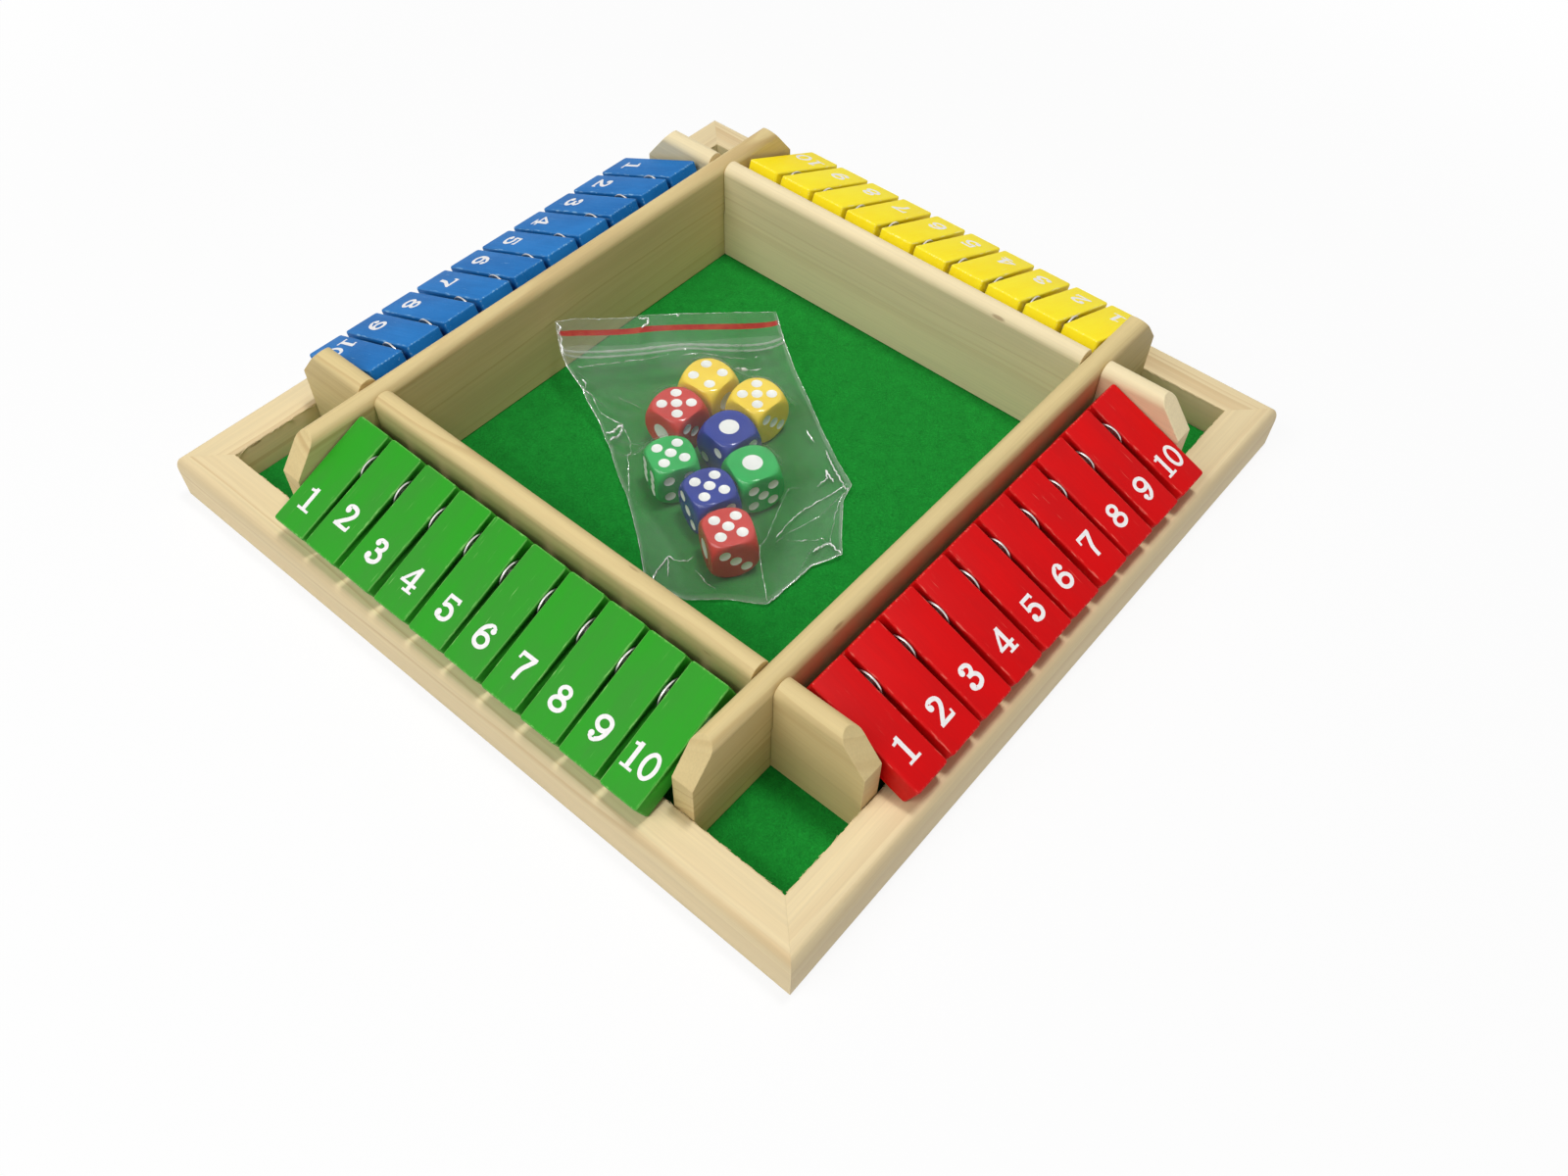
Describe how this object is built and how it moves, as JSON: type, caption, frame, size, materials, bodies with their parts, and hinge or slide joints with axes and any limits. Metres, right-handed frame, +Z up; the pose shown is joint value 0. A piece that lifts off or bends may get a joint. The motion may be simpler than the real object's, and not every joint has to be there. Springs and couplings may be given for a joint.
{
  "type": "shut the box game",
  "caption": "Square wooden dice game: a felt-lined tray whose arena is ringed by rows of numbered flip-up tiles on steel rods, with a clear bag of dice.",
  "frame": {"origin": "middle of the tray's underside", "axes": "+Z up out of the tray; the green row of tiles is at -Y, red at +X, yellow at +Y, blue at -X"},
  "size_m": [0.28, 0.28, 0.048],
  "materials": {
    "pale_wood": "sanded pale pine or basswood, thin clear coat",
    "base_board": "thin plywood",
    "green_felt": "short-napped felt",
    "zinc_steel": "zinc plated",
    "green_paint": "semi-gloss enamel over wood",
    "red_paint": "semi-gloss enamel over wood",
    "yellow_paint": "semi-gloss enamel over wood",
    "blue_paint": "semi-gloss enamel over wood",
    "red_dice": "polished, white pips",
    "blue_dice": "polished, white pips",
    "green_dice": "polished, white pips",
    "yellow_dice": "polished, white pips",
    "bag_film": "clear crinkled film with a red line"
  },
  "bodies": {
    "tray": {"tray_frame": "pale_wood", "base_panel": "base_board", "felt": "green_felt", "board_front": "pale_wood", "board_back": "pale_wood", "board_left": "pale_wood", "board_right": "pale_wood", "rod_green": "zinc_steel", "rod_red": "zinc_steel", "rod_yellow": "zinc_steel", "rod_blue": "zinc_steel"},
    "tile_green_01": {"tile_green_01": "green_paint"},
    "tile_green_02": {"tile_green_02": "green_paint"},
    "tile_green_03": {"tile_green_03": "green_paint"},
    "tile_green_04": {"tile_green_04": "green_paint"},
    "tile_green_05": {"tile_green_05": "green_paint"},
    "tile_green_06": {"tile_green_06": "green_paint"},
    "tile_green_07": {"tile_green_07": "green_paint"},
    "tile_green_08": {"tile_green_08": "green_paint"},
    "tile_green_09": {"tile_green_09": "green_paint"},
    "tile_green_10": {"tile_green_10": "green_paint"},
    "tile_red_01": {"tile_red_01": "red_paint"},
    "tile_red_02": {"tile_red_02": "red_paint"},
    "tile_red_03": {"tile_red_03": "red_paint"},
    "tile_red_04": {"tile_red_04": "red_paint"},
    "tile_red_05": {"tile_red_05": "red_paint"},
    "tile_red_06": {"tile_red_06": "red_paint"},
    "tile_red_07": {"tile_red_07": "red_paint"},
    "tile_red_08": {"tile_red_08": "red_paint"},
    "tile_red_09": {"tile_red_09": "red_paint"},
    "tile_red_10": {"tile_red_10": "red_paint"},
    "tile_yellow_01": {"tile_yellow_01": "yellow_paint"},
    "tile_yellow_02": {"tile_yellow_02": "yellow_paint"},
    "tile_yellow_03": {"tile_yellow_03": "yellow_paint"},
    "tile_yellow_04": {"tile_yellow_04": "yellow_paint"},
    "tile_yellow_05": {"tile_yellow_05": "yellow_paint"},
    "tile_yellow_06": {"tile_yellow_06": "yellow_paint"},
    "tile_yellow_07": {"tile_yellow_07": "yellow_paint"},
    "tile_yellow_08": {"tile_yellow_08": "yellow_paint"},
    "tile_yellow_09": {"tile_yellow_09": "yellow_paint"},
    "tile_yellow_10": {"tile_yellow_10": "yellow_paint"},
    "tile_blue_01": {"tile_blue_01": "blue_paint"},
    "tile_blue_02": {"tile_blue_02": "blue_paint"},
    "tile_blue_03": {"tile_blue_03": "blue_paint"},
    "tile_blue_04": {"tile_blue_04": "blue_paint"},
    "tile_blue_05": {"tile_blue_05": "blue_paint"},
    "tile_blue_06": {"tile_blue_06": "blue_paint"},
    "tile_blue_07": {"tile_blue_07": "blue_paint"},
    "tile_blue_08": {"tile_blue_08": "blue_paint"},
    "tile_blue_09": {"tile_blue_09": "blue_paint"},
    "tile_blue_10": {"tile_blue_10": "blue_paint"},
    "dice_bag": {"dice_bag": "bag_film", "die_red_a": "red_dice", "die_red_b": "red_dice", "die_blue_a": "blue_dice", "die_blue_b": "blue_dice", "die_green_a": "green_dice", "die_green_b": "green_dice", "die_yellow_a": "yellow_dice", "die_yellow_b": "yellow_dice"}
  },
  "joints": [
    {"name": "flip_green_01", "type": "hinge", "parent": "tray", "child": "tile_green_01", "pos_m": [-0.07425, -0.10553, 0.036], "axis": [-1, 0, 0], "range_deg": [0, 150.5]},
    {"name": "flip_green_02", "type": "hinge", "parent": "tray", "child": "tile_green_02", "pos_m": [-0.05775, -0.10553, 0.036], "axis": [-1, 0, 0], "range_deg": [0, 150.5]},
    {"name": "flip_green_03", "type": "hinge", "parent": "tray", "child": "tile_green_03", "pos_m": [-0.04125, -0.10553, 0.036], "axis": [-1, 0, 0], "range_deg": [0, 150.5]},
    {"name": "flip_green_04", "type": "hinge", "parent": "tray", "child": "tile_green_04", "pos_m": [-0.02475, -0.10553, 0.036], "axis": [-1, 0, 0], "range_deg": [0, 150.5]},
    {"name": "flip_green_05", "type": "hinge", "parent": "tray", "child": "tile_green_05", "pos_m": [-0.00825, -0.10553, 0.036], "axis": [-1, 0, 0], "range_deg": [0, 150.5]},
    {"name": "flip_green_06", "type": "hinge", "parent": "tray", "child": "tile_green_06", "pos_m": [0.00825, -0.10553, 0.036], "axis": [-1, 0, 0], "range_deg": [0, 150.5]},
    {"name": "flip_green_07", "type": "hinge", "parent": "tray", "child": "tile_green_07", "pos_m": [0.02475, -0.10553, 0.036], "axis": [-1, 0, 0], "range_deg": [0, 150.5]},
    {"name": "flip_green_08", "type": "hinge", "parent": "tray", "child": "tile_green_08", "pos_m": [0.04125, -0.10553, 0.036], "axis": [-1, 0, 0], "range_deg": [0, 150.5]},
    {"name": "flip_green_09", "type": "hinge", "parent": "tray", "child": "tile_green_09", "pos_m": [0.05775, -0.10553, 0.036], "axis": [-1, 0, 0], "range_deg": [0, 150.5]},
    {"name": "flip_green_10", "type": "hinge", "parent": "tray", "child": "tile_green_10", "pos_m": [0.07425, -0.10553, 0.036], "axis": [-1, 0, 0], "range_deg": [0, 150.5]},
    {"name": "flip_red_01", "type": "hinge", "parent": "tray", "child": "tile_red_01", "pos_m": [0.10553, -0.07425, 0.036], "axis": [0, -1, 0], "range_deg": [0, 150.5]},
    {"name": "flip_red_02", "type": "hinge", "parent": "tray", "child": "tile_red_02", "pos_m": [0.10553, -0.05775, 0.036], "axis": [0, -1, 0], "range_deg": [0, 150.5]},
    {"name": "flip_red_03", "type": "hinge", "parent": "tray", "child": "tile_red_03", "pos_m": [0.10553, -0.04125, 0.036], "axis": [0, -1, 0], "range_deg": [0, 150.5]},
    {"name": "flip_red_04", "type": "hinge", "parent": "tray", "child": "tile_red_04", "pos_m": [0.10553, -0.02475, 0.036], "axis": [0, -1, 0], "range_deg": [0, 150.5]},
    {"name": "flip_red_05", "type": "hinge", "parent": "tray", "child": "tile_red_05", "pos_m": [0.10553, -0.00825, 0.036], "axis": [0, -1, 0], "range_deg": [0, 150.5]},
    {"name": "flip_red_06", "type": "hinge", "parent": "tray", "child": "tile_red_06", "pos_m": [0.10553, 0.00825, 0.036], "axis": [0, -1, 0], "range_deg": [0, 150.5]},
    {"name": "flip_red_07", "type": "hinge", "parent": "tray", "child": "tile_red_07", "pos_m": [0.10553, 0.02475, 0.036], "axis": [0, -1, 0], "range_deg": [0, 150.5]},
    {"name": "flip_red_08", "type": "hinge", "parent": "tray", "child": "tile_red_08", "pos_m": [0.10553, 0.04125, 0.036], "axis": [0, -1, 0], "range_deg": [0, 150.5]},
    {"name": "flip_red_09", "type": "hinge", "parent": "tray", "child": "tile_red_09", "pos_m": [0.10553, 0.05775, 0.036], "axis": [0, -1, 0], "range_deg": [0, 150.5]},
    {"name": "flip_red_10", "type": "hinge", "parent": "tray", "child": "tile_red_10", "pos_m": [0.10553, 0.07425, 0.036], "axis": [0, -1, 0], "range_deg": [0, 150.5]},
    {"name": "flip_yellow_01", "type": "hinge", "parent": "tray", "child": "tile_yellow_01", "pos_m": [0.07425, 0.10553, 0.036], "axis": [1, 0, 0], "range_deg": [0, 150.5]},
    {"name": "flip_yellow_02", "type": "hinge", "parent": "tray", "child": "tile_yellow_02", "pos_m": [0.05775, 0.10553, 0.036], "axis": [1, 0, 0], "range_deg": [0, 150.5]},
    {"name": "flip_yellow_03", "type": "hinge", "parent": "tray", "child": "tile_yellow_03", "pos_m": [0.04125, 0.10553, 0.036], "axis": [1, 0, 0], "range_deg": [0, 150.5]},
    {"name": "flip_yellow_04", "type": "hinge", "parent": "tray", "child": "tile_yellow_04", "pos_m": [0.02475, 0.10553, 0.036], "axis": [1, 0, 0], "range_deg": [0, 150.5]},
    {"name": "flip_yellow_05", "type": "hinge", "parent": "tray", "child": "tile_yellow_05", "pos_m": [0.00825, 0.10553, 0.036], "axis": [1, 0, 0], "range_deg": [0, 150.5]},
    {"name": "flip_yellow_06", "type": "hinge", "parent": "tray", "child": "tile_yellow_06", "pos_m": [-0.00825, 0.10553, 0.036], "axis": [1, 0, 0], "range_deg": [0, 150.5]},
    {"name": "flip_yellow_07", "type": "hinge", "parent": "tray", "child": "tile_yellow_07", "pos_m": [-0.02475, 0.10553, 0.036], "axis": [1, 0, 0], "range_deg": [0, 150.5]},
    {"name": "flip_yellow_08", "type": "hinge", "parent": "tray", "child": "tile_yellow_08", "pos_m": [-0.04125, 0.10553, 0.036], "axis": [1, 0, 0], "range_deg": [0, 150.5]},
    {"name": "flip_yellow_09", "type": "hinge", "parent": "tray", "child": "tile_yellow_09", "pos_m": [-0.05775, 0.10553, 0.036], "axis": [1, 0, 0], "range_deg": [0, 150.5]},
    {"name": "flip_yellow_10", "type": "hinge", "parent": "tray", "child": "tile_yellow_10", "pos_m": [-0.07425, 0.10553, 0.036], "axis": [1, 0, 0], "range_deg": [0, 150.5]},
    {"name": "flip_blue_01", "type": "hinge", "parent": "tray", "child": "tile_blue_01", "pos_m": [-0.10553, 0.07425, 0.036], "axis": [0, 1, 0], "range_deg": [0, 150.5]},
    {"name": "flip_blue_02", "type": "hinge", "parent": "tray", "child": "tile_blue_02", "pos_m": [-0.10553, 0.05775, 0.036], "axis": [0, 1, 0], "range_deg": [0, 150.5]},
    {"name": "flip_blue_03", "type": "hinge", "parent": "tray", "child": "tile_blue_03", "pos_m": [-0.10553, 0.04125, 0.036], "axis": [0, 1, 0], "range_deg": [0, 150.5]},
    {"name": "flip_blue_04", "type": "hinge", "parent": "tray", "child": "tile_blue_04", "pos_m": [-0.10553, 0.02475, 0.036], "axis": [0, 1, 0], "range_deg": [0, 150.5]},
    {"name": "flip_blue_05", "type": "hinge", "parent": "tray", "child": "tile_blue_05", "pos_m": [-0.10553, 0.00825, 0.036], "axis": [0, 1, 0], "range_deg": [0, 150.5]},
    {"name": "flip_blue_06", "type": "hinge", "parent": "tray", "child": "tile_blue_06", "pos_m": [-0.10553, -0.00825, 0.036], "axis": [0, 1, 0], "range_deg": [0, 150.5]},
    {"name": "flip_blue_07", "type": "hinge", "parent": "tray", "child": "tile_blue_07", "pos_m": [-0.10553, -0.02475, 0.036], "axis": [0, 1, 0], "range_deg": [0, 150.5]},
    {"name": "flip_blue_08", "type": "hinge", "parent": "tray", "child": "tile_blue_08", "pos_m": [-0.10553, -0.04125, 0.036], "axis": [0, 1, 0], "range_deg": [0, 150.5]},
    {"name": "flip_blue_09", "type": "hinge", "parent": "tray", "child": "tile_blue_09", "pos_m": [-0.10553, -0.05775, 0.036], "axis": [0, 1, 0], "range_deg": [0, 150.5]},
    {"name": "flip_blue_10", "type": "hinge", "parent": "tray", "child": "tile_blue_10", "pos_m": [-0.10553, -0.07425, 0.036], "axis": [0, 1, 0], "range_deg": [0, 150.5]},
    {"name": "bag_lift", "type": "slide", "parent": "tray", "child": "dice_bag", "axis": [0, 0, 1], "range_m": [0, 0.12]}
  ]
}
